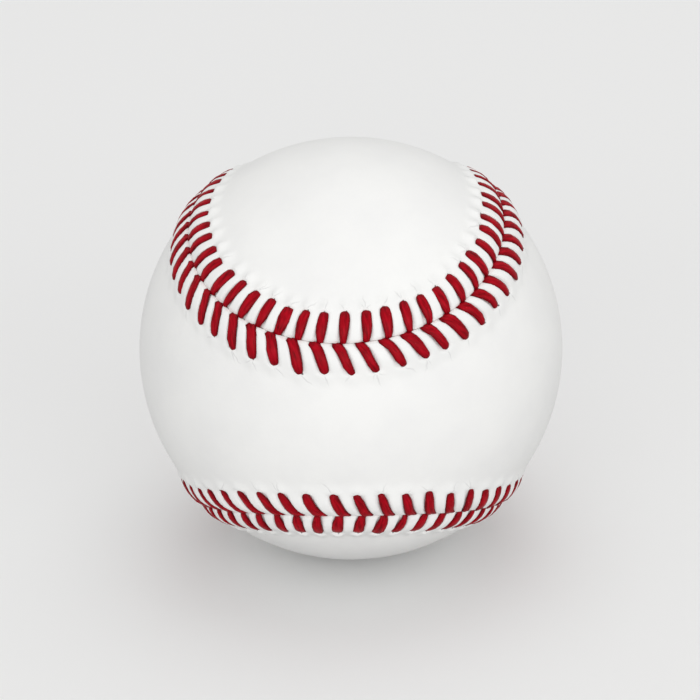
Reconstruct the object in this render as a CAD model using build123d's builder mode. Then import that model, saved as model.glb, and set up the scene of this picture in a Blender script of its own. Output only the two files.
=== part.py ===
# A baseball at its real size, in millimetres, with the centre of the ball at the origin and +Z up.
# It is built as the real ball is: a cork core in rubber, four wound layers of yarn, and two
# figure-eight leather panels sewn together along one closed seam by two red threads.
# The waist of the front panel faces -Y, and the waist of the back panel faces +Y.

import os
from math import cos, pi, sin, sqrt, tan

from build123d import *

# Ball and cover
ball_diameter = 74.0
leather_thickness = 1.2
bond_line = 0.05

# Seam: the width of each panel's waist, measured round the ball, and how far its lobes swell
waist_width = 32.0
lobe_swell = 0.4646
rim_width = 6.0
rim_slope = 2.8
rim_bevel = 0.3

# Stitches: where the first one dives into the seam, and how far its holes lie beside and behind that
stitch_count = 108
first_stitch = 1.7
hole_setback = 4.85
back_lean = 1.05
front_lean = 1.45

# Thread: flattened wide where it lies over the leather, drawn narrow under it and in the gap
leg_width = 1.7
leg_height = 0.7
tail_width = 0.95
tail_height = 0.5
dive_width = 0.85
dive_height = 0.42
hole_clearance = 0.42
gap_clearance = 0.24
thread_clearance = 0.12

# Core and wound layers
core_diameter = 20.6
cup_wall = 4.0
washer_thickness = 0.8
jacket_wall = 2.4
second_winding_build = 1.8
third_winding_build = 2.2
finishing_winding_build = 0.45

# Smoothness of the lines beside the seam, and of the slope up to it
seam_points = 72
slope_steps = 4

os.makedirs("parts", exist_ok=True)


def save(piece, name):
    piece.part.label = name
    export_step(piece.part, f"parts/{name}.step")
    print(f"{name}: {len(piece.part.solids())} solid, {piece.part.volume:.1f} mm3")


# Radii from the core outwards and from the cover inwards: the first winding fills what is left
core_radius = core_diameter / 2
cup_inside = core_radius + bond_line
cup_outside = cup_inside + cup_wall
jacket_inside = cup_outside + bond_line
jacket_outside = jacket_inside + jacket_wall
first_inside = jacket_outside + bond_line
ball_radius = ball_diameter / 2
leather_underside = ball_radius - leather_thickness
finishing_outside = leather_underside - bond_line
finishing_inside = finishing_outside - finishing_winding_build
third_outside = finishing_inside - bond_line
third_inside = third_outside - third_winding_build
second_outside = third_inside - bond_line
second_inside = second_outside - second_winding_build
first_outside = second_inside - bond_line


# Core: a ball of cork and rubber in two black cups with a red washer between them, in a red jacket
with BuildPart() as cork_core:
    Sphere(core_radius)
save(cork_core, "cork_core")


def rubber_ring(inside, outside, lowest, highest):
    with BuildPart() as ring:
        with BuildSketch(Plane.XZ):
            Circle(outside)
            Circle(inside, mode=Mode.SUBTRACT)
            with Locations((0, lowest)):
                Rectangle(outside, highest - lowest, align=(Align.MIN, Align.MIN), mode=Mode.INTERSECT)
        revolve(axis=Axis.Z)
    return ring


washer_top = washer_thickness / 2
cup_rim = washer_top + bond_line
jacket_rim = bond_line / 2
save(rubber_ring(cup_inside, cup_outside, cup_rim, cup_outside), "black_rubber_cup_upper")
save(rubber_ring(cup_inside, cup_outside, -cup_outside, -cup_rim), "black_rubber_cup_lower")
save(rubber_ring(cup_inside, cup_outside, -washer_top, washer_top), "red_rubber_washer")
save(rubber_ring(jacket_inside, jacket_outside, jacket_rim, jacket_outside), "red_rubber_jacket_upper")
save(rubber_ring(jacket_inside, jacket_outside, -jacket_outside, -jacket_rim), "red_rubber_jacket_lower")


# Windings: closed layers of yarn, each wound over the one beneath it
def winding(inside, outside):
    with BuildPart() as layer:
        Sphere(outside)
        Sphere(inside, mode=Mode.SUBTRACT)
    return layer


save(winding(first_inside, first_outside), "first_winding_grey_wool")
save(winding(second_inside, second_outside), "second_winding_white_wool")
save(winding(third_inside, third_outside), "third_winding_grey_wool")
save(winding(finishing_inside, finishing_outside), "finishing_winding_cotton")


# Seam: one closed line on the ball that swings four times between the two panels
seam_swing = (1 - lobe_swell) / tan(waist_width / ball_diameter)


def seam_direction(turn):
    along = cos(turn) + lobe_swell * cos(3 * turn)
    over = sin(turn) - lobe_swell * sin(3 * turn)
    swing = seam_swing * sin(2 * turn)
    return Vector((along - over) / sqrt(2), -swing, (along + over) / sqrt(2)).normalized()


with BuildLine() as seam:
    turns = [2 * pi * i / seam_points for i in range(seam_points)]
    Spline(*[seam_direction(turn) * ball_radius for turn in turns], periodic=True)
seam_line = seam.edge()
seam_length = seam_line.length
pitch = seam_length / stitch_count
print(f"seam {seam_length:.1f} mm long, stitches {pitch:.2f} mm apart")


# A place on the cover: a run along the seam, a distance across it to the front panel, and a radius
def beside_seam(run, distance, radius):
    share = (run / seam_length) % 1
    out = seam_line.position_at(share).normalized()
    across = out.cross(seam_line.tangent_at(share)).normalized()
    angle = distance / ball_radius
    return (out * cos(angle) + across * sin(angle)) * radius


def hole_spot(stitch, side):
    lean = front_lean if side > 0 else back_lean
    return Vector(first_stitch + stitch * pitch - lean, side * hole_setback)


# Lines beside the seam share their marks, so that a band between two of them runs square to the seam
def line_beside_seam(distance, radius):
    marks = [i / seam_points for i in range(seam_points + 1)]
    places = [beside_seam(mark * seam_length, distance, radius) for mark in marks[:-1]]
    return Edge.make_spline(places, periodic=True, parameters=marks)


# Cover panels: a smooth field of the sphere, and a rim that rides up over the thread beneath it
seam_lift = tail_height + 2 * thread_clearance
rim_top = ball_radius + seam_lift
rim_underside = leather_underside + seam_lift
rim_edge = dive_height / 2 + gap_clearance
rim_end = rim_width + rim_slope
hole_diameter = tail_width + 2 * hole_clearance


def cover_panel(side):
    rim = []
    for step in range(slope_steps + 1):
        share = step / slope_steps
        lift = seam_lift * (1 - cos(pi * share)) / 2
        rim.append((rim_end - rim_slope * share, ball_radius + lift))
    rim += [
        (rim_edge + rim_bevel, rim_top),
        (rim_edge, rim_top - rim_bevel),
        (rim_edge, rim_underside),
        (rim_width, rim_underside),
        (rim_end, leather_underside),
    ]
    lines = [line_beside_seam(side * distance, radius) for distance, radius in rim]
    skin = [Face.make_surface_from_curves(first, second) for first, second in zip(lines, lines[1:])]

    # The sphere's own poles and seam are turned into the other panel, clear of this one's border
    turned = (0, 0, 90) if side > 0 else (0, 90, -90)
    for radius, border in ((ball_radius, lines[0]), (leather_underside, lines[-1])):
        with BuildPart() as ball:
            Sphere(radius, rotation=turned)
        fields = ball.face().split_by_perimeter(border, Keep.BOTH)
        skin.append(min(fields, key=lambda field: field.area))

    holes = []
    for stitch in range(stitch_count):
        hole = hole_spot(stitch, side)
        place = beside_seam(hole.X, hole.Y, rim_top)
        holes.append(Plane(origin=place, z_dir=place))
    with BuildPart() as panel:
        add(Solid(Shell(skin)))
        with Locations(*holes):
            Cylinder(hole_diameter / 2, 4 * leather_thickness, mode=Mode.SUBTRACT)
    return panel


save(cover_panel(1), "front_cover_panel")
save(cover_panel(-1), "back_cover_panel")


# Threads: each comes up through a hole, lies over the leather to the seam, dives into the gap and
# passes under the other panel to that panel's next hole, all the way round and back to its start
over_radius = rim_top + thread_clearance + leg_height / 2
under_radius = rim_underside - thread_clearance - tail_height / 2
thread_spread = dive_width / 2 + thread_clearance
shoulder_width = (leg_width + tail_width) / 2
shoulder_height = (leg_height + tail_height) / 2
hole_share = hole_diameter / 4 / hole_setback
dive_share = rim_edge / hole_setback


# One stitch's stations, each a place beside the seam, a radius, a width and a height
def stitch_stations(stitch, side):
    hole = hole_spot(stitch, side)
    dive = Vector(first_stitch + stitch * pitch + side * thread_spread, 0)
    leg = dive - hole
    return [
        (hole, under_radius, tail_width, tail_height),
        (hole, rim_top, tail_width, tail_height),
        (hole + leg * hole_share, over_radius, tail_width, tail_height),
        (hole + leg * 1 / 4, over_radius, shoulder_width, shoulder_height),
        (hole + leg * 1 / 2, over_radius, leg_width, leg_height),
        (hole + leg * 3 / 4, over_radius, shoulder_width, shoulder_height),
        (dive - leg * dive_share, over_radius, dive_width, dive_height),
        (dive, rim_top - rim_bevel, dive_width, dive_height),
        (dive, under_radius, dive_width, dive_height),
    ]


def sewing_thread(first_side):
    stations = []
    for stitch in range(stitch_count):
        side = first_side if stitch % 2 == 0 else -first_side
        stations += stitch_stations(stitch, side)
    places = [beside_seam(flat.X, flat.Y, radius) for flat, radius, width, height in stations]

    # Each section stands square to the bisector of its corner, and is tall enough for the mitre
    tops = []
    bottoms = []
    for i, (flat, radius, width, height) in enumerate(stations):
        arriving = (places[i] - places[i - 1]).normalized()
        leaving = (places[(i + 1) % len(places)] - places[i]).normalized()
        heading = arriving + leaving
        rise = height / heading.length
        along_seam = seam_line.tangent_at((flat.X / seam_length) % 1)
        with BuildLine(Plane(origin=places[i], x_dir=along_seam, z_dir=heading)):
            tops.append(ThreePointArc((-width / 2, 0), (0, rise), (width / 2, 0)).edge())
            bottoms.append(ThreePointArc((-width / 2, 0), (0, -rise), (width / 2, 0)).edge())

    skin = []
    for arcs in (tops, bottoms):
        for first, second in zip(arcs, arcs[1:] + arcs[:1]):
            skin.append(Face.make_surface_from_curves(first, second))
    length = sum((place - places[i - 1]).length for i, place in enumerate(places))
    print(f"thread {length:.0f} mm long")
    with BuildPart() as thread:
        add(Solid(Shell(skin)))
    return thread


save(sewing_thread(-1), "thread_first_needle")
save(sewing_thread(1), "thread_second_needle")
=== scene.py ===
import math

import bpy
import numpy as np
from mathutils import Matrix, Vector


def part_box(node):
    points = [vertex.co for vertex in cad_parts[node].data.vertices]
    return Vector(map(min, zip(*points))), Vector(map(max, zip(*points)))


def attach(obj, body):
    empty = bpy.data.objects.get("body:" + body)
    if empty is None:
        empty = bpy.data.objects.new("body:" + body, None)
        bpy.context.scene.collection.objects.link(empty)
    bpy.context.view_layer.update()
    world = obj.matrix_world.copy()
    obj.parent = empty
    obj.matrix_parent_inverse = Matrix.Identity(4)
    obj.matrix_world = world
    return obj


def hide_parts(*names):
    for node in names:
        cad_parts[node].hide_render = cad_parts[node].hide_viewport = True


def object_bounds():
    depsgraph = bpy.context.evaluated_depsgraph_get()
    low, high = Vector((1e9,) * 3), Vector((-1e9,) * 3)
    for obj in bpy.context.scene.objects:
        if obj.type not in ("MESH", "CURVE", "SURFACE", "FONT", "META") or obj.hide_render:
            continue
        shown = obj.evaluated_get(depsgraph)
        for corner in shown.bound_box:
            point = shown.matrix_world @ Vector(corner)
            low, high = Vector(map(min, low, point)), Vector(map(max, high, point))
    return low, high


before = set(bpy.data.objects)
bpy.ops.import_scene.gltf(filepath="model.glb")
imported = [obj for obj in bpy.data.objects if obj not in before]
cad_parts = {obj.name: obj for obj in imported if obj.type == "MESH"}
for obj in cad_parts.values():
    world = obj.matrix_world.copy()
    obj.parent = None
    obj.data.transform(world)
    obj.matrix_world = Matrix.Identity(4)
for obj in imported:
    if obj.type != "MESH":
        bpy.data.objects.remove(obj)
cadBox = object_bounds()
mm = 0.001  # the settings of the pieces are in millimetres, the meshes in metres
stitchSeed = 108  # another number makes the stitches uneven in another way
chance = np.random.default_rng(stitchSeed)
bpy.context.scene.view_settings.view_transform = "Standard"

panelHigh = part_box("front_cover_panel")[1]
ballRadius = panelHigh.x / mm
print("frame loaded, ball radius", round(ballRadius, 2), "mm")


# the seam, as it is in the solids

seam = {
    "waistWidth": 32.0,
    "lobeSwell": 0.4646,
    "stitches": 108,
    "firstStitch": 1.7,
    "samples": 20000,
    "probe": 0.001,  # how far ahead and back the seam's heading is taken from
}
seamSwing = (1 - seam["lobeSwell"]) / math.tan(seam["waistWidth"] / 2 / ballRadius)


def unit(vectors):
    return vectors / np.linalg.norm(vectors, axis=-1, keepdims=True)


def seamDirection(turn):
    along = np.cos(turn) + seam["lobeSwell"] * np.cos(3 * turn)
    over = np.sin(turn) - seam["lobeSwell"] * np.sin(3 * turn)
    swing = seamSwing * np.sin(2 * turn)
    return unit(np.stack([(along - over) / math.sqrt(2), -swing, (along + over) / math.sqrt(2)], axis=-1))


turnTable = np.linspace(0, 2 * np.pi, seam["samples"] + 1)
stepTable = np.linalg.norm(np.diff(seamDirection(turnTable), axis=0), axis=1) * ballRadius
runTable = np.concatenate([[0], np.cumsum(stepTable)])
seamLength = runTable[-1]
pitch = seamLength / seam["stitches"]


def seamFrame(run):
    turn = np.interp(np.mod(run, seamLength), runTable, turnTable)
    out = seamDirection(turn)
    ahead = unit(seamDirection(turn + seam["probe"]) - seamDirection(turn - seam["probe"]))
    return out, ahead, np.cross(out, ahead)


def besideSeam(run, distance):  # direction from the middle of the ball; the front panel lies at plus
    out, _, across = seamFrame(run)
    angle = (distance / ballRadius)[..., None]
    return out * np.cos(angle) + across * np.sin(angle)


def smooth(low, high, value):
    share = np.clip((value - low) / (high - low), 0, 1)
    return share * share * (3 - 2 * share)


print("seam", round(seamLength, 1), "mm, stitches", round(pitch, 2), "mm apart")


# how a stitch lies: each ring of a leg is a run from the stitch's point, a distance from the seam,
# a radius, a width and a height, from the hole over the leather and down into the seam

stitch = {
    "backLeg": [
        (-1.05, 4.85, 36.20, 0.90, 0.50),
        (-1.05, 4.90, 36.88, 0.95, 0.50),
        (-1.05, 4.82, 37.16, 1.36, 0.57),
        (-1.03, 4.45, 37.40, 1.78, 0.64),
        (-0.96, 3.60, 37.66, 1.98, 0.70),
        (-0.84, 2.55, 37.82, 1.90, 0.74),
        (-0.71, 1.50, 37.80, 1.68, 0.72),
        (-0.58, 0.66, 37.60, 1.36, 0.63),
        (-0.50, 0.10, 37.34, 1.15, 0.52),
        (-0.52, -0.08, 36.95, 0.85, 0.40),
        (-0.55, 0.00, 36.35, 0.85, 0.40),
    ],
    "frontLeg": [
        (-1.45, 4.85, 36.20, 0.90, 0.50),
        (-1.46, 5.05, 36.88, 0.92, 0.50),
        (-1.45, 5.00, 37.16, 1.08, 0.57),
        (-1.37, 4.62, 37.40, 1.44, 0.64),
        (-1.12, 3.60, 37.66, 1.78, 0.70),
        (-0.75, 2.50, 37.82, 1.78, 0.74),
        (-0.30, 1.40, 37.80, 1.80, 0.72),
        (0.21, 0.68, 37.60, 1.80, 0.63),
        (0.62, 0.22, 37.34, 1.75, 0.50),
        (0.80, 0.02, 36.96, 1.15, 0.40),
        (0.52, 0.00, 36.35, 0.80, 0.40),
    ],
    "overRings": slice(2, 9),  # the rings that lie over the leather
    "bendRings": slice(3, 8),
    "squareFrom": 8,  # from this ring on a leg's end lies square with the seam
    "underRadius": 36.20,
    "underSize": (0.90, 0.46),
    "underShares": (1 / 3, 2 / 3),  # shares of the way under the other panel to its next hole
    "sides": 10,
    "flatness": 0.9,  # below 1 the strand is flatter on top than an oval
    "slip": 0.12,  # how far a leg strays along the seam
    "slipFade": (2.0, 0.3),  # how far from the seam it strays in full, and the share of it at the seam
    "stretch": 0.13,  # how far a leg's hole strays across the seam
    "swell": 0.08,  # how much the width varies from leg to leg, as a share
    "ripple": 0.04,  # and along a leg
    "bend": 0.10,  # how far a leg bows to one side
    "bendEnd": 0.5,  # what is left off at each end of the bend's half wave, in radians
    "tip": (-0.16, 0.26),  # how far a leg's end is pulled along the seam, on average and from leg to leg
    "tipShares": (1, 1, 0.9, 0.55, 0),  # shares of the pull on the rings at the hole
    "mapLength": 14.0,  # one stitch's length on the map of the strand
    "mergeDistance": 0.0005,
}
sideLegs = {-1: np.array(stitch["backLeg"]), 1: np.array(stitch["frontLeg"])}
legSlip = {side: chance.normal(0, stitch["slip"], seam["stitches"]) for side in (-1, 1)}
legStretch = {side: chance.normal(0, stitch["stretch"], seam["stitches"]) for side in (-1, 1)}
legSwell = {side: 1 + chance.normal(0, stitch["swell"], seam["stitches"]) for side in (-1, 1)}
legTip = {side: chance.normal(*stitch["tip"], seam["stitches"]) for side in (-1, 1)}


# cover panels: a grid wrapped from the middle of the panel out to the seam and back inside

cover = {
    "columnsPerStitch": 12,
    "fieldRows": 14,
    "insideRows": 9,
    "hemStart": 9.6,  # where the rows begin to follow the seam
    "hemStep": 0.32,
    "lipStart": 0.6,  # where the hem's even rows end
    "lipRows": [0.46, 0.32, 0.2, 0.1, 0.02],
    "insideHem": [(0.02, 36.5), (3.0, 36.5), (6.2, 36.5), (8.6, 35.84)],  # distances and radii
    "insideRadius": 35.84,
    "spineReach": 105.0,  # degrees that the panel's middle line runs each way from its waist
    "rise": 1.08,  # the hem's height midway between two legs
    "riseVaries": 0.12,
    "slope": (2.6, 7.2),  # where it starts to slope down to the round of the ball, and where it gets there
    "seamDip": (0.36, 2.2),  # how much of the height is lost at the seam, and from how far away
    "riseAtLeg": 0.36,  # share of it that is left under a leg
    "grooveHalf": (0.64, 1.20),  # from a leg's middle, where the leather starts to rise and where it is full
    "grooveEnd": (-0.58, 0.02),  # from the hole, where the leather closes over a leg's end
    "crack": 0.28,  # how deep the two panels dip where they meet
    "crackWidth": 0.30,
    "holeDistance": {-1: 5.08, 1: 5.22},  # from the seam, on the back and the front panel
    "holeDepth": 0.16,
    "holeSize": (0.50, 0.36),  # along the seam and across it
    "tent": {-1: 0.46, 1: 0.22},  # the leather that a stitch draws up beyond its hole
    "tentWidth": 1.0,
    "tentVaries": 0.3,
    "tentPhase": 2,  # sets the tents' changes apart from the hem's
    "tentRise": (-0.35, 0.40),
    "tentFall": (0.45, 2.8),
    "waves": ((7, 1.0), (19, 2.3), (43, 3.1)),  # waves round the seam, and their shares of the phase
    "fieldMap": 12,  # how much farther from the seam the middle line is on the map
    "insideMap": 20,  # the inside's distance on the map, beyond all marks
    "mergeDistance": 0.002,
}


def legMiddle(side, distance):  # the leg's run from its point, and past its hole the way that it pulls
    leg = sideLegs[side][stitch["overRings"]][::-1]
    lean = (leg[-1, 0] - leg[-3, 0]) / (leg[-1, 1] - leg[-3, 1])
    return np.interp(distance, leg[:, 1], leg[:, 0]) + lean * np.maximum(distance - leg[-1, 1], 0)


def legCount(side, run, distance):  # how many stitches along; a whole number is the middle of a leg
    count = (run - seam["firstStitch"] - legMiddle(side, distance)) / pitch
    nearest = np.rint(count).astype(int) % seam["stitches"]
    return count - legSlip[side][nearest] / pitch


def pastHole(side, count, distance):
    nearest = np.rint(count).astype(int) % seam["stitches"]
    return distance - cover["holeDistance"][side] - legStretch[side][nearest]


def unevenness(run, phase):  # a slow change along the seam that closes on itself
    turn = 2 * np.pi * run / seamLength
    waves = [np.sin(number * turn + share * phase) for number, share in cover["waves"]]
    return sum(waves) / len(waves)


def coverHeight(side, run, distance):
    count = legCount(side, run, distance)
    offset = (count - np.rint(count)) * pitch
    past = pastHole(side, count, distance)
    height = cover["rise"] * (1 + cover["riseVaries"] * unevenness(run, side))
    height *= 1 - smooth(*cover["slope"], distance)
    dip, dipReach = cover["seamDip"]
    height *= 1 - dip * (1 - smooth(0, dipReach, distance))
    between = np.maximum(smooth(*cover["grooveHalf"], np.abs(offset)), smooth(*cover["grooveEnd"], past))
    height *= cover["riseAtLeg"] + (1 - cover["riseAtLeg"]) * between
    pull = 1 + cover["tentVaries"] * unevenness(run, side + cover["tentPhase"])
    pull *= np.exp(-((offset / cover["tentWidth"]) ** 2))
    tent = smooth(*cover["tentRise"], past) * (1 - smooth(*cover["tentFall"], past))
    height += cover["tent"][side] * pull * tent
    wide, deep = cover["holeSize"]
    height -= cover["holeDepth"] * np.exp(-((offset / wide) ** 2) - (past / deep) ** 2)
    height -= cover["crack"] * np.exp(-((distance / cover["crackWidth"]) ** 2))
    return height


def wrapGrid(name, places, mapName, mapPlaces, mergeDistance):  # places[row, column] in millimetres
    rows, columns = places.shape[0], places.shape[1] - 1
    bpy.ops.object.select_all(action="DESELECT")
    bpy.ops.mesh.primitive_grid_add(x_subdivisions=columns, y_subdivisions=rows - 1, size=1)
    piece = bpy.context.object
    piece.name = piece.data.name = name
    flat = np.empty(len(piece.data.vertices) * 3)
    piece.data.vertices.foreach_get("co", flat)
    column = np.rint((flat[0::3] + 0.5) * columns).astype(int)
    row = np.rint((flat[1::3] + 0.5) * (rows - 1)).astype(int)
    piece.data.vertices.foreach_set("co", (places[row, column] * mm).ravel())
    corner = np.empty(len(piece.data.loops), dtype=np.int32)
    piece.data.loops.foreach_get("vertex_index", corner)
    piece.data.uv_layers[0].name = mapName
    piece.data.uv_layers[mapName].data.foreach_set("uv", mapPlaces[row[corner], column[corner]].ravel())
    bpy.ops.object.mode_set(mode="EDIT")
    bpy.ops.mesh.select_all(action="SELECT")
    bpy.ops.mesh.remove_doubles(threshold=mergeDistance * mm)
    bpy.ops.mesh.normals_make_consistent(inside=False)
    bpy.ops.object.mode_set(mode="OBJECT")
    bpy.ops.object.shade_smooth()
    return piece


def makePanel(name, side, node):
    columns = seam["stitches"] * cover["columnsPerStitch"]
    run = np.linspace(0, seamLength, columns + 1)
    even = np.ones(columns + 1)
    quarter = seamLength / 4
    waistRun = quarter / 2 if side > 0 else quarter * 3 / 2
    past = np.abs((run - waistRun + quarter) % (2 * quarter) - quarter)
    edge = besideSeam(run, 0 * even)
    lobeSide = np.sign(edge[:, 0] if side > 0 else edge[:, 2])
    swing = lobeSide * math.radians(cover["spineReach"]) * np.sin(np.pi / 2 * past / quarter)
    if side > 0:
        spine = np.stack([np.sin(swing), -np.cos(swing), 0 * swing], axis=-1)
    else:
        spine = np.stack([0 * swing, np.cos(swing), np.sin(swing)], axis=-1)

    def fieldRow(share, start, radius):  # a share of the way from the middle line out to the hem
        hem = besideSeam(run, side * start * even)
        angle = np.arccos(np.clip(np.sum(hem * spine, axis=-1), -1, 1))[:, None]
        return (np.sin((1 - share) * angle) * spine + np.sin(share * angle) * hem) / np.sin(angle) * radius

    layers = []
    distances = []
    for share in np.linspace(0, 1, cover["fieldRows"], endpoint=False):
        layers.append(fieldRow(share, cover["hemStart"], ballRadius))
        distances.append(cover["hemStart"] + cover["fieldMap"] * (1 - share))
    evenRows = np.arange(cover["hemStart"], cover["lipStart"], -cover["hemStep"])
    for distance in np.concatenate([evenRows, cover["lipRows"]]):
        height = coverHeight(side, run, distance * even)
        layers.append(besideSeam(run, side * distance * even) * (ballRadius + height)[:, None])
        distances.append(distance)
    for distance, radius in cover["insideHem"]:
        layers.append(besideSeam(run, side * distance * even) * radius)
        distances.append(cover["insideMap"])
    for share in np.linspace(1, 0, cover["insideRows"] + 1)[1:]:
        layers.append(fieldRow(share, cover["insideHem"][-1][0], cover["insideRadius"]))
        distances.append(cover["insideMap"])
    mapPlaces = []
    for distance in distances:
        count = legCount(side, run, distance * even)
        mapPlaces.append(np.stack([count, pastHole(side, count, distance * even)], axis=-1))
    panel = wrapGrid(name, np.array(layers), "seamMap", np.array(mapPlaces), cover["mergeDistance"])
    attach(panel, "root")
    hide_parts(node)
    print(name, len(panel.data.polygons), "faces")
    return panel


frontPanel = makePanel("frontCoverPanel", 1, "front_cover_panel")
backPanel = makePanel("backCoverPanel", -1, "back_cover_panel")


# threads: one stitch's rings, carried on round the seam from side to side

def unevenLeg(side, number):  # one leg's rings, with its own slip, pull, width and bend
    leg = sideLegs[side].copy()
    over, bent = stitch["overRings"], stitch["bendRings"]
    fullSlip, leastSlip = stitch["slipFade"]
    leg[:, 0] += legSlip[side][number] * np.clip(leg[:, 1] / fullSlip, leastSlip, 1)
    atHole = len(stitch["tipShares"])
    leg[:atHole, 0] += legTip[side][number] * np.array(stitch["tipShares"])
    leg[:atHole, 1] += legStretch[side][number] * leg[:atHole, 1] / leg[0, 1]
    leg[over, 3] *= legSwell[side][number] * (1 + chance.normal(0, stitch["ripple"], len(leg[over])))
    wave = np.sin(np.linspace(stitch["bendEnd"], math.pi - stitch["bendEnd"], len(leg[bent])))
    leg[bent, 0] += chance.normal(0, stitch["bend"]) * wave
    return leg


def makeThread(name, firstSide, node):
    rings = []
    widthWays = []
    firstOver = stitch["overRings"].start
    for number in range(seam["stitches"]):
        side = firstSide if number % 2 == 0 else -firstSide
        point = seam["firstStitch"] + number * pitch
        leg = unevenLeg(side, number)
        nextLeg = sideLegs[-side]
        heading = np.gradient(leg[:, :2], axis=0)
        ways = unit(np.stack([-heading[:, 1], heading[:, 0]], axis=-1))
        ways[:firstOver] = ways[firstOver]
        ways[stitch["squareFrom"]:] = (1, 0)
        for station, way in zip(leg, ways):
            rings.append((point + station[0], side * station[1], station[2], station[3], station[4]))
            widthWays.append((way[0], side * way[1]))
        for share in stitch["underShares"]:
            run = point + leg[-1, 0] + share * (pitch + nextLeg[0, 0] - leg[-1, 0])
            rings.append((run, -side * share * nextLeg[0, 1], stitch["underRadius"], *stitch["underSize"]))
            widthWays.append((1, 0))
    rings = np.array(rings)
    widthWays = np.array(widthWays)
    middles = besideSeam(rings[:, 0], rings[:, 1]) * rings[:, 2:3]
    _, ahead, across = seamFrame(rings[:, 0])
    travel = unit(np.roll(middles, -1, axis=0) - np.roll(middles, 1, axis=0))
    sideways = ahead * widthWays[:, 0:1] + across * widthWays[:, 1:2]
    sideways = unit(sideways - travel * np.sum(sideways * travel, axis=-1, keepdims=True))
    rising = np.cross(travel, sideways)
    layers = []
    for turn in np.linspace(0, 2 * np.pi, stitch["sides"] + 1):
        wide = math.copysign(abs(math.cos(turn)) ** stitch["flatness"], math.cos(turn)) / 2
        tall = math.copysign(abs(math.sin(turn)) ** stitch["flatness"], math.sin(turn)) / 2
        layers.append(middles + sideways * rings[:, 3:4] * wide + rising * rings[:, 4:5] * tall)
    layers = np.array(layers)
    layers = np.concatenate([layers, layers[:, :1]], axis=1)
    along = np.linspace(0, seam["stitches"] * stitch["mapLength"], layers.shape[1])
    around = np.linspace(0, 1, len(layers))
    mapPlaces = np.stack(np.meshgrid(along, around), axis=-1)
    thread = wrapGrid(name, layers, "strandMap", mapPlaces, stitch["mergeDistance"])
    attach(thread, "root")
    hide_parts(node)
    print(name, len(thread.data.polygons), "faces")
    return thread


firstThread = makeThread("firstNeedleThread", -1, "thread_first_needle")
secondThread = makeThread("secondNeedleThread", 1, "thread_second_needle")


# finishes

class NodeBoard:  # adds nodes to one material or world and links them
    def __init__(self, tree):
        self.nodes = tree.nodes
        self.links = tree.links

    def plug(self, socket, value):
        if isinstance(value, (int, float)):
            socket.default_value = value
        elif isinstance(value, tuple):
            socket.default_value = (*value, 1)
        else:
            self.links.new(value, socket)

    def place(self):
        return self.nodes.new("ShaderNodeTexCoord").outputs["Object"]

    def mapPlace(self, mapName):
        where = self.nodes.new("ShaderNodeUVMap")
        where.uv_map = mapName
        split = self.nodes.new("ShaderNodeSeparateXYZ")
        self.plug(split.inputs["Vector"], where.outputs["UV"])
        return split.outputs["X"], split.outputs["Y"]

    def vector(self, *parts):
        vector = self.nodes.new("ShaderNodeCombineXYZ")
        for socket, part in zip(vector.inputs, parts):
            self.plug(socket, part)
        return vector.outputs["Vector"]

    def noise(self, place, scale, detail=3.0, roughness=0.55):
        noise = self.nodes.new("ShaderNodeTexNoise")
        noise.inputs["Scale"].default_value = scale
        noise.inputs["Detail"].default_value = detail
        noise.inputs["Roughness"].default_value = roughness
        self.plug(noise.inputs["Vector"], place)
        return noise.outputs["Fac"]

    def luck(self, number):  # a value of its own for each whole number
        luck = self.nodes.new("ShaderNodeTexWhiteNoise")
        luck.noise_dimensions = "1D"
        self.plug(luck.inputs["W"], number)
        return luck.outputs["Value"]

    def ramp(self, value, stops):
        ramp = self.nodes.new("ShaderNodeValToRGB")
        while len(ramp.color_ramp.elements) < len(stops):
            ramp.color_ramp.elements.new(0.5)
        for element, (place, colour) in zip(ramp.color_ramp.elements, stops):
            element.position = place
            element.color = (*colour, 1)
        self.plug(ramp.inputs["Fac"], value)
        return ramp.outputs["Color"]

    def mix(self, share, first, second):
        mix = self.nodes.new("ShaderNodeMix")
        mix.data_type = "RGBA"
        self.plug(mix.inputs["Factor"], share)
        self.plug(mix.inputs[6], first)  # the colour sockets share their names with others
        self.plug(mix.inputs[7], second)
        return mix.outputs[2]

    def sums(self, way, first, second=0.0):
        sums = self.nodes.new("ShaderNodeMath")
        sums.operation = way
        self.plug(sums.inputs[0], first)
        self.plug(sums.inputs[1], second)
        return sums.outputs["Value"]

    def reach(self, first, second):  # the length of the two together
        squares = [self.sums("MULTIPLY", side, side) for side in (first, second)]
        return self.sums("SQRT", self.sums("ADD", *squares))

    def fade(self, value, start, end):  # 0 at start, 1 at end, smooth between
        fade = self.nodes.new("ShaderNodeMapRange")
        fade.interpolation_type = "SMOOTHSTEP"
        fade.inputs["From Min"].default_value = min(start, end)
        fade.inputs["From Max"].default_value = max(start, end)
        fade.inputs["To Min"].default_value = 0 if start < end else 1
        fade.inputs["To Max"].default_value = 1 if start < end else 0
        self.plug(fade.inputs["Value"], value)
        return fade.outputs["Result"]

    def bump(self, height, distance, strength, under=None):
        bump = self.nodes.new("ShaderNodeBump")
        bump.inputs["Distance"].default_value = distance
        bump.inputs["Strength"].default_value = strength
        self.plug(bump.inputs["Height"], height)
        if under is not None:
            self.plug(bump.inputs["Normal"], under)
        return bump.outputs["Normal"]


def newFinish(name, roughness):
    finish = bpy.data.materials.new(name)
    finish.use_nodes = True
    board = NodeBoard(finish.node_tree)
    shader = board.nodes["Principled BSDF"]
    shader.inputs["Roughness"].default_value = roughness
    return finish, board, shader


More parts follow.
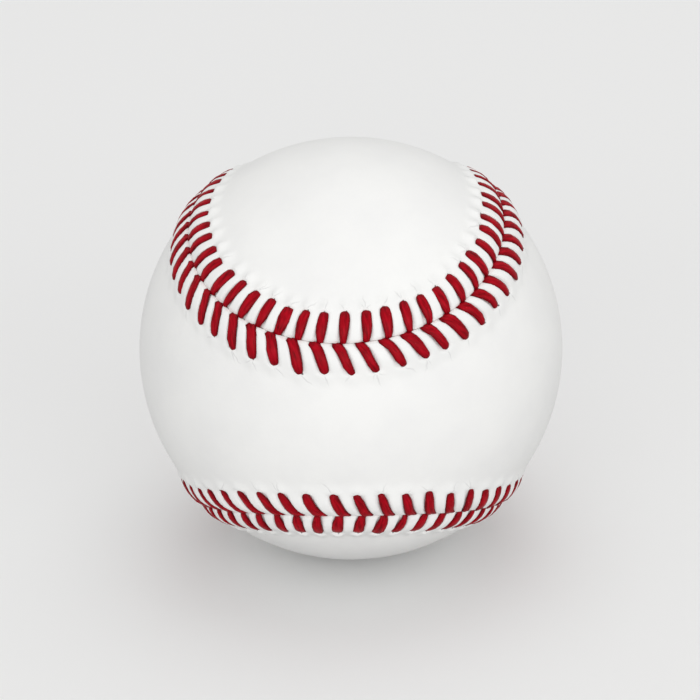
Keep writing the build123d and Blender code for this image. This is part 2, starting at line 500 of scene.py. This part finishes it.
leather = {  # noises are a scale and a detail, bumps a depth in metres and a strength
    "pale": (0.90, 0.90, 0.885),
    "shaded": (0.865, 0.865, 0.855),
    "mottle": (95, 4),
    "shadedAt": 0.3,
    "paleAt": 0.62,
    # painted shade: the grey that the leather darkens to along the wrinkle creases
    "wrinkle": (0.60, 0.60, 0.60),
    "wrinkleShadeStrength": 0.36,
    "wrinkleSpreads": (1.0, 7.3, 13.7),  # each line's own multiple of a stitch's luck
    "wrinkleFan": 2.4,  # radians that the lines are spread over
    "wrinkleEdge": (0.14, 0.02),  # millimetres from a line's middle, where it is gone and where it is full
    "wrinkleStart": (0.2, 0.5),  # from the hole
    "wrinkleReach": 2.9,
    "reachSpread": 5.7,  # sets a line's length apart from its angle
    "wrinkleFade": 1.6,
    "wobble": (700, 1),
    "wobbleTurn": 0.7,
    "blush": (0.80, 0.56, 0.54),  # where the thread has rubbed off on the seam
    "blushAt": (-4.8, -5.1),
    "blushStrength": 0.2,
    # painted shade: the dark inside each stitch hole, drawn into the leather's colour
    "hole": (0.09, 0.08, 0.08),
    "holeShadeStray": 0.9,
    "holeShadeInward": 0.17,  # how far the painted hole shade lies from the dent, towards the seam
    "holeShadeEdge": (0.26, 0.10),
    "holeShadeLuck": (-0.5, 1.1),  # the luck that paints no hole shade, and the luck that paints the darkest
    "swell": (260, 3),
    "swellBump": (0.00010, 0.3),
    "grain": 1500,
    "grainBump": (0.00005, 0.25),
    "pores": (2600, 2),
    "poreBump": (0.00003, 0.25),
    "wrinkleBump": (0.00008, 0.6),
    "roughness": 0.50,
    "specular": 0.30,
}


def leatherFinish():
    finish, board, shader = newFinish("whiteCoverLeather", leather["roughness"])
    sums, fade = board.sums, board.fade
    place = board.place()
    mottle = board.noise(place, *leather["mottle"])
    stops = [(leather["shadedAt"], leather["shaded"]), (leather["paleAt"], leather["pale"])]
    colour = board.ramp(mottle, stops)

    # each stitch has its own hole, and fine wrinkles that fan out from it; the grey of the wrinkle lines and
    # the dark at the hole are painted shade
    count, past = board.mapPlace("seamMap")
    number = sums("ROUND", count)
    offset = sums("MULTIPLY", sums("SUBTRACT", count, number), pitch)
    reach = board.reach(offset, past)
    luck = board.luck(number)
    wobble = sums("SUBTRACT", board.noise(place, *leather["wobble"]), 0.5)
    wobble = sums("MULTIPLY", wobble, leather["wobbleTurn"])
    angle = sums("ADD", sums("ARCTAN2", offset, past), wobble)
    wrinkle = 0.0
    for spread in leather["wrinkleSpreads"]:  # each line's angle and length are a stitch's own luck
        draw = sums("FRACT", sums("MULTIPLY", luck, spread))
        middle = sums("MULTIPLY", sums("SUBTRACT", draw, 0.5), leather["wrinkleFan"])
        aside = sums("MULTIPLY", sums("SUBTRACT", angle, middle), reach)
        line = fade(sums("ABSOLUTE", aside), *leather["wrinkleEdge"])
        length = sums("FRACT", sums("MULTIPLY", draw, leather["reachSpread"]))
        left = sums("SUBTRACT", sums("MULTIPLY", length, leather["wrinkleReach"]), reach)
        starts = fade(reach, *leather["wrinkleStart"])
        ends = fade(left, 0.0, leather["wrinkleFade"])
        shown = sums("MULTIPLY", line, sums("MULTIPLY", starts, ends))
        wrinkle = sums("MAXIMUM", wrinkle, shown)
    # painted shade along the wrinkle creases
    colour = board.mix(sums("MULTIPLY", wrinkle, leather["wrinkleShadeStrength"]), colour, leather["wrinkle"])
    blush = sums("MULTIPLY", fade(past, *leather["blushAt"]), leather["blushStrength"])
    colour = board.mix(blush, colour, leather["blush"])
    # painted shade in each stitch hole, a dark spot beside the dent
    stray = sums("MULTIPLY", sums("SUBTRACT", luck, 0.5), leather["holeShadeStray"])
    shadeSpot = board.reach(sums("ADD", offset, stray), sums("ADD", past, leather["holeShadeInward"]))
    hole = sums("MULTIPLY", fade(shadeSpot, *leather["holeShadeEdge"]), fade(luck, *leather["holeShadeLuck"]))
    colour = board.mix(hole, colour, leather["hole"])
    board.plug(shader.inputs["Base Color"], colour)

    grain = board.nodes.new("ShaderNodeTexVoronoi")
    grain.feature = "SMOOTH_F1"
    grain.inputs["Scale"].default_value = leather["grain"]
    board.plug(grain.inputs["Vector"], place)
    normal = board.bump(board.noise(place, *leather["swell"]), *leather["swellBump"])
    normal = board.bump(grain.outputs["Distance"], *leather["grainBump"], normal)
    normal = board.bump(board.noise(place, *leather["pores"]), *leather["poreBump"], normal)
    normal = board.bump(sums("SUBTRACT", 1.0, wrinkle), *leather["wrinkleBump"], normal)
    board.plug(shader.inputs["Normal"], normal)
    shader.inputs["Specular IOR Level"].default_value = leather["specular"]
    return finish


redThread = {  # fibres are a noise's scale, detail and roughness
    "dark": (0.13, 0.0005, 0.003),
    "darkAt": 0.3,
    "middle": (0.34, 0.0012, 0.008),
    "middleAt": 0.5,
    "bright": (0.50, 0.004, 0.016),
    "brightAt": 0.75,
    "fibres": (1.6, 4, 0.6),
    "fibreLength": 0.25,  # below 1 draws the fibres out along the strand
    "fibreTurns": 7.0,  # how fine they are round it
    "fibreTwist": 0.15,  # how much they wind
    "fibreBump": (0.00010, 0.5),
    # painted shade, laid on the strand's flanks and towards its ends
    "edge": (0.14, 0.0006, 0.004),
    "flankShadeFade": (0.5, 1.0),
    "flankShadeStrength": 0.8,
    "holeShade": (0.30, 0.16),  # shares of a stitch between which painted shade darkens the strand towards its hole
    "seamShade": (0.56, 0.66),
    "endShadeStrength": 0.6,
    "fleck": (0.72, 0.10, 0.11),
    "flecks": (2400, 2),
    "fleckFade": (0.70, 0.78),
    "fleckStrength": 0.45,
    "roughness": 0.38,
    "specular": 0.07,
}


def redThreadFinish():
    finish, board, shader = newFinish("waxedRedThread", redThread["roughness"])
    sums, fade = board.sums, board.fade
    along, around = board.mapPlace("strandMap")
    turned = sums("MULTIPLY", around, redThread["fibreTurns"])
    twist = sums("ADD", turned, sums("MULTIPLY", along, redThread["fibreTwist"]))
    strand = board.vector(sums("MULTIPLY", along, redThread["fibreLength"]), twist, 0.0)
    fibres = board.noise(strand, *redThread["fibres"])
    stops = [(redThread[key + "At"], redThread[key]) for key in ("dark", "middle", "bright")]
    colour = board.ramp(fibres, stops)
    # painted shade on the strand's flanks, where its sides turn away from the light
    flankShade = sums("ABSOLUTE", sums("COSINE", sums("MULTIPLY", around, 2 * math.pi)))
    flankShade = sums("MULTIPLY", fade(flankShade, *redThread["flankShadeFade"]), redThread["flankShadeStrength"])
    colour = board.mix(flankShade, colour, redThread["edge"])
    # painted shade towards each leg's ends, where the strand goes into its hole and under the seam
    share = sums("FRACT", sums("DIVIDE", along, stitch["mapLength"]))
    ends = sums("MAXIMUM", fade(share, *redThread["holeShade"]), fade(share, *redThread["seamShade"]))
    colour = board.mix(sums("MULTIPLY", ends, redThread["endShadeStrength"]), colour, redThread["edge"])
    flecks = board.noise(board.place(), *redThread["flecks"])
    flecks = sums("MULTIPLY", fade(flecks, *redThread["fleckFade"]), redThread["fleckStrength"])
    colour = board.mix(flecks, colour, redThread["fleck"])
    board.plug(shader.inputs["Base Color"], colour)
    board.plug(shader.inputs["Normal"], board.bump(fibres, *redThread["fibreBump"]))
    shader.inputs["Specular IOR Level"].default_value = redThread["specular"]
    return finish


# the core's cork and rubber: speckles between two or three colours
core = {
    "speckles": (5, 0.7),  # a noise's detail and roughness
    "bumpStrength": 0.5,
    "corkAndRubber": {
        "nodes": ["cork_core"],
        "scale": 900,
        "stops": [(0.38, (0.05, 0.03, 0.02)), (0.46, (0.32, 0.18, 0.09)), (0.7, (0.5, 0.33, 0.18))],
        "roughness": 0.8,
        "bump": 0.0004,
    },
    "blackRubber": {
        "nodes": ["black_rubber_cup_upper", "black_rubber_cup_lower"],
        "scale": 1400,
        "stops": [(0.3, (0.012, 0.012, 0.012)), (0.7, (0.03, 0.03, 0.03))],
        "roughness": 0.6,
        "bump": 0.0001,
    },
    "redRubber": {
        "nodes": ["red_rubber_washer", "red_rubber_jacket_upper", "red_rubber_jacket_lower"],
        "scale": 1100,
        "stops": [(0.3, (0.24, 0.03, 0.022)), (0.7, (0.36, 0.05, 0.035))],
        "roughness": 0.55,
        "bump": 0.0001,
    },
}


def coreFinish(name):
    settings = core[name]
    finish, board, shader = newFinish(name, settings["roughness"])
    speckle = board.noise(board.place(), settings["scale"], *core["speckles"])
    board.plug(shader.inputs["Base Color"], board.ramp(speckle, settings["stops"]))
    board.plug(shader.inputs["Normal"], board.bump(speckle, settings["bump"], core["bumpStrength"]))
    return finish


# the wound layers: waves for the turns of yarn
yarn = {
    "distortion": 6,
    "detail": 3,
    "detailScale": 0.4,
    "darkAt": 0.1,
    "paleAt": 0.7,
    "bump": (0.0004, 0.7),
    "roughness": 0.85,
    "greyWool": {
        "nodes": ["first_winding_grey_wool", "third_winding_grey_wool"],
        "scale": 190,
        "dark": (0.16, 0.16, 0.16),
        "pale": (0.42, 0.42, 0.41),
    },
    "whiteWool": {
        "nodes": ["second_winding_white_wool"],
        "scale": 190,
        "dark": (0.46, 0.45, 0.42),
        "pale": (0.78, 0.77, 0.73),
    },
    "whiteCotton": {
        "nodes": ["finishing_winding_cotton"],
        "scale": 320,
        "dark": (0.52, 0.51, 0.48),
        "pale": (0.84, 0.83, 0.8),
    },
}


def yarnFinish(name):
    settings = yarn[name]
    finish, board, shader = newFinish(name, yarn["roughness"])
    turns = board.nodes.new("ShaderNodeTexWave")
    turns.inputs["Scale"].default_value = settings["scale"]
    turns.inputs["Distortion"].default_value = yarn["distortion"]
    turns.inputs["Detail"].default_value = yarn["detail"]
    turns.inputs["Detail Scale"].default_value = yarn["detailScale"]
    board.plug(turns.inputs["Vector"], board.place())
    stops = [(yarn["darkAt"], settings["dark"]), (yarn["paleAt"], settings["pale"])]
    board.plug(shader.inputs["Base Color"], board.ramp(turns.outputs["Fac"], stops))
    board.plug(shader.inputs["Normal"], board.bump(turns.outputs["Fac"], *yarn["bump"]))
    return finish


def wear(piece, finish):
    piece.data.materials.clear()
    piece.data.materials.append(finish)


def wearInside(nodeNames, finish):
    for nodeName in nodeNames:
        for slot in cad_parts[nodeName].material_slots:
            slot.material = finish


coverLeather = leatherFinish()
sewingThread = redThreadFinish()
for panel in (frontPanel, backPanel):
    wear(panel, coverLeather)
for thread in (firstThread, secondThread):
    wear(thread, sewingThread)
for name in ("corkAndRubber", "blackRubber", "redRubber"):
    wearInside(core[name]["nodes"], coreFinish(name))
for name in ("greyWool", "whiteWool", "whiteCotton"):
    wearInside(yarn[name]["nodes"], yarnFinish(name))
print("finishes on", len(bpy.data.materials), "materials")


# floor, light and camera

studio = {  # in metres and watts
    "floorSize": 60.0,
    "floorColour": (0.90, 0.90, 0.895),  # as the camera sees it
    "floorBounce": (0.64, 0.64, 0.64),  # as it lights the ball from below
    "floorRoughness": 0.8,
    "worldStrength": 0.69,
    "skySeen": 0.63,  # as bright as the far end of the floor
    "keyPlace": (0.80, -4.50, 1.42),  # far enough back for the floor behind it to stay out of view
    "keySize": (11.4, 2.50),
    "keyPower": 152.0,
    "topPlace": (0.10, 0.30, 1.10),
    "topSize": (1.0, 1.0),
    "topPower": 1.8,
}
bpy.ops.object.select_all(action="DESELECT")
bpy.ops.mesh.primitive_plane_add(size=studio["floorSize"], location=(0, 0, cadBox[0][2]))
floor = bpy.context.object
floor.name = "studioFloor"
floorFinish, board, shader = newFinish("paleFloor", studio["floorRoughness"])
seen = board.nodes.new("ShaderNodeLightPath").outputs["Is Camera Ray"]
board.plug(shader.inputs["Base Color"], board.mix(seen, studio["floorBounce"], studio["floorColour"]))
wear(floor, floorFinish)

world = bpy.context.scene.world or bpy.data.worlds.new("studioWorld")
bpy.context.scene.world = world
world.use_nodes = True
board = NodeBoard(world.node_tree)
sky = board.nodes["Background"]
sky.inputs["Color"].default_value = (1, 1, 1, 1)
seen = board.nodes.new("ShaderNodeLightPath").outputs["Is Camera Ray"]
lessLight = board.sums("MULTIPLY", seen, studio["worldStrength"] - studio["skySeen"])
board.plug(sky.inputs["Strength"], board.sums("SUBTRACT", studio["worldStrength"], lessLight))


def addSoftbox(name, place, size, power):
    bpy.ops.object.light_add(type="AREA", location=place)
    lamp = bpy.context.object
    lamp.name = name
    lamp.data.shape = "RECTANGLE"
    lamp.data.size, lamp.data.size_y = size
    lamp.data.energy = power
    lamp.rotation_euler = Vector(place).to_track_quat("Z", "Y").to_euler()


addSoftbox("keySoftbox", studio["keyPlace"], studio["keySize"], studio["keyPower"])
addSoftbox("topSoftbox", studio["topPlace"], studio["topSize"], studio["topPower"])
print("floor and light set")

view = {  # the photo's camera, with its angles in degrees
    "azimuth": 3.164,
    "elevation": 23.585,
    "roll": -1.372,
    "distance": 0.49077,  # metres from the ball's middle
    "sensor": 36,  # millimetres, as is the lens
    "lens": 143.9,
    "shift": (-0.0013, -0.0026),
    "clipStart": 0.01,
}
azimuth, elevation, roll = (math.radians(view[key]) for key in ("azimuth", "elevation", "roll"))
level = Vector((math.cos(azimuth), math.sin(azimuth), 0))
outward = Vector((math.sin(azimuth), -math.cos(azimuth), 0))
backward = outward * math.cos(elevation) + Vector((0, 0, math.sin(elevation)))
upright = backward.cross(level)
rightward = level * math.cos(roll) + upright * math.sin(roll)
upward = upright * math.cos(roll) - level * math.sin(roll)
turned = Matrix((rightward, upward, backward)).transposed().to_4x4()
bpy.ops.object.camera_add()
camera = bpy.context.object
camera.name = "photoCamera"
camera.matrix_world = Matrix.Translation(backward * view["distance"]) @ turned
camera.data.sensor_width = view["sensor"]
camera.data.lens = view["lens"]
camera.data.shift_x, camera.data.shift_y = view["shift"]
camera.data.clip_start = view["clipStart"]
bpy.context.scene.camera = camera
